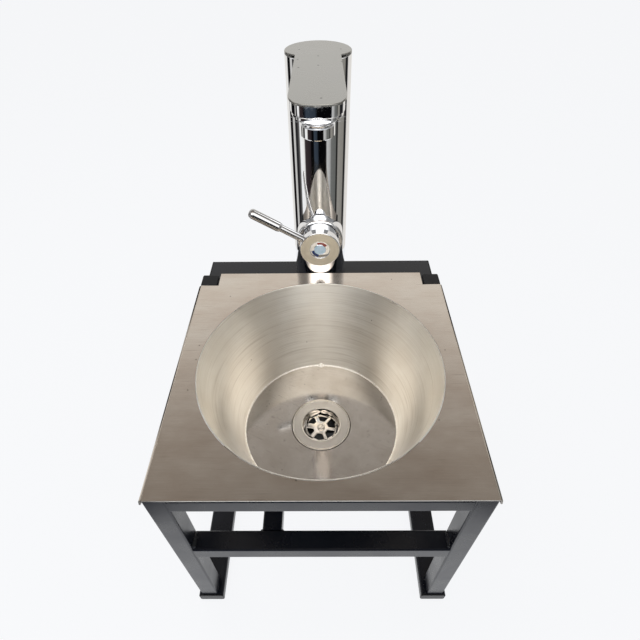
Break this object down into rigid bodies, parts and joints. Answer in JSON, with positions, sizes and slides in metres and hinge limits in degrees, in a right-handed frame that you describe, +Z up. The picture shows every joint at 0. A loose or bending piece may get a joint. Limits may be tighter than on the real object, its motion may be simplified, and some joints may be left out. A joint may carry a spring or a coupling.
{
  "type": "hand wash sink",
  "caption": "Small stainless steel hand wash sink: a brushed top with a round conical bowl on a dark box section stand, with a pillar tap behind that has a flat spout and a side lever.",
  "frame": {"origin": "on the bench, in the middle of the sink's outline", "axes": "+X to the user's right, +Y away from the user, +Z up"},
  "size_m": [0.303, 0.3594, 0.526],
  "materials": {
    "front_leg_left": "dark grey powder coat, satin",
    "front_leg_right": "dark grey powder coat, satin",
    "rear_post_left": "dark grey powder coat, satin",
    "rear_post_right": "dark grey powder coat, satin",
    "front_top_rail": "dark grey powder coat, satin",
    "rear_top_rail": "dark grey powder coat, satin",
    "side_top_rail_left": "dark grey powder coat, satin",
    "side_top_rail_right": "dark grey powder coat, satin",
    "front_mid_rail": "dark grey powder coat, satin",
    "rear_mid_rail": "dark grey powder coat, satin",
    "mid_brace": "dark grey powder coat, satin",
    "skid_left": "dark grey powder coat, satin",
    "skid_right": "dark grey powder coat, satin",
    "skid_cap_front_left": "moulded black plastic, fine grain",
    "skid_cap_front_right": "moulded black plastic, fine grain",
    "skid_cap_rear_left": "moulded black plastic, fine grain",
    "skid_cap_rear_right": "moulded black plastic, fine grain",
    "post_cap_left": "moulded black plastic, fine grain",
    "post_cap_right": "moulded black plastic, fine grain",
    "tap_bar": "dark grey powder coat, satin",
    "tap_bar_cap_left": "moulded black plastic, fine grain",
    "tap_bar_cap_right": "moulded black plastic, fine grain",
    "weld_beads": "dark grey powder coat, satin",
    "top_plate": "long brushed stainless sheet",
    "bowl_wall": "turned and polished in rings",
    "bowl_floor": "pickled stainless, dull",
    "bowl_weld": "pickled stainless, dull",
    "flange_seal": "black rubber",
    "waste_flange": "polished stainless",
    "strainer_grid": "polished stainless",
    "waste_screw": "polished stainless",
    "under_seal": "black rubber",
    "waste_body": "white moulded polypropylene",
    "tap_body": "polished chrome on brass",
    "spout": "polished chrome on brass",
    "spout_cover": "satin chromed plate",
    "aerator_ring": "polished chrome on brass",
    "aerator_insert": "white moulded plastic",
    "tap_foot_seal": "black rubber",
    "tap_stud": "zinc plated steel",
    "shoe_seal": "black rubber",
    "shoe_plate": "zinc plated steel",
    "stud_nut": "zinc plated steel",
    "cartridge_body": "white moulded plastic",
    "cartridge_seal": "black rubber",
    "cartridge_nut": "turned brass",
    "cartridge_shroud": "polished chrome on brass",
    "cartridge_rotor": "white moulded plastic",
    "tilt_pin": "ground steel",
    "spindle": "machined steel",
    "handle_cap": "polished chrome on brass",
    "indicator_button": "translucent cap with a warm and a cold arc",
    "lever_stem": "polished chrome on brass",
    "lever_grip": "polished chrome on brass",
    "grub_screw": "zinc plated steel"
  },
  "bodies": {
    "sink": {"front_leg_left": "front_leg_left", "front_leg_right": "front_leg_right", "rear_post_left": "rear_post_left", "rear_post_right": "rear_post_right", "front_top_rail": "front_top_rail", "rear_top_rail": "rear_top_rail", "side_top_rail_left": "side_top_rail_left", "side_top_rail_right": "side_top_rail_right", "front_mid_rail": "front_mid_rail", "rear_mid_rail": "rear_mid_rail", "mid_brace": "mid_brace", "skid_left": "skid_left", "skid_right": "skid_right", "skid_cap_front_left": "skid_cap_front_left", "skid_cap_front_right": "skid_cap_front_right", "skid_cap_rear_left": "skid_cap_rear_left", "skid_cap_rear_right": "skid_cap_rear_right", "post_cap_left": "post_cap_left", "post_cap_right": "post_cap_right", "tap_bar": "tap_bar", "tap_bar_cap_left": "tap_bar_cap_left", "tap_bar_cap_right": "tap_bar_cap_right", "weld_beads": "weld_beads", "top_plate": "top_plate", "bowl_wall": "bowl_wall", "bowl_floor": "bowl_floor", "bowl_weld": "bowl_weld", "flange_seal": "flange_seal", "waste_flange": "waste_flange", "strainer_grid": "strainer_grid", "waste_screw": "waste_screw", "under_seal": "under_seal", "waste_body": "waste_body", "tap_body": "tap_body", "spout": "spout", "spout_cover": "spout_cover", "aerator_ring": "aerator_ring", "aerator_insert": "aerator_insert", "tap_foot_seal": "tap_foot_seal", "tap_stud": "tap_stud", "shoe_seal": "shoe_seal", "shoe_plate": "shoe_plate", "stud_nut": "stud_nut", "cartridge_body": "cartridge_body", "cartridge_seal": "cartridge_seal", "cartridge_nut": "cartridge_nut", "cartridge_shroud": "cartridge_shroud"},
    "turntable": {"cartridge_rotor": "cartridge_rotor", "tilt_pin": "tilt_pin"},
    "handle": {"spindle": "spindle", "handle_cap": "handle_cap", "indicator_button": "indicator_button", "lever_stem": "lever_stem", "lever_grip": "lever_grip", "grub_screw": "grub_screw"}
  },
  "joints": [
    {"name": "lever_turn", "type": "hinge", "parent": "sink", "child": "turntable", "pos_m": [0, 0.10825, 0.336], "axis": [0, 1, 0], "range_deg": [-50, 50]},
    {"name": "lever_tilt", "type": "hinge", "parent": "turntable", "child": "handle", "pos_m": [0, 0.10825, 0.336], "axis": [0.5299, 0, 0.848], "range_deg": [0, 18]}
  ]
}
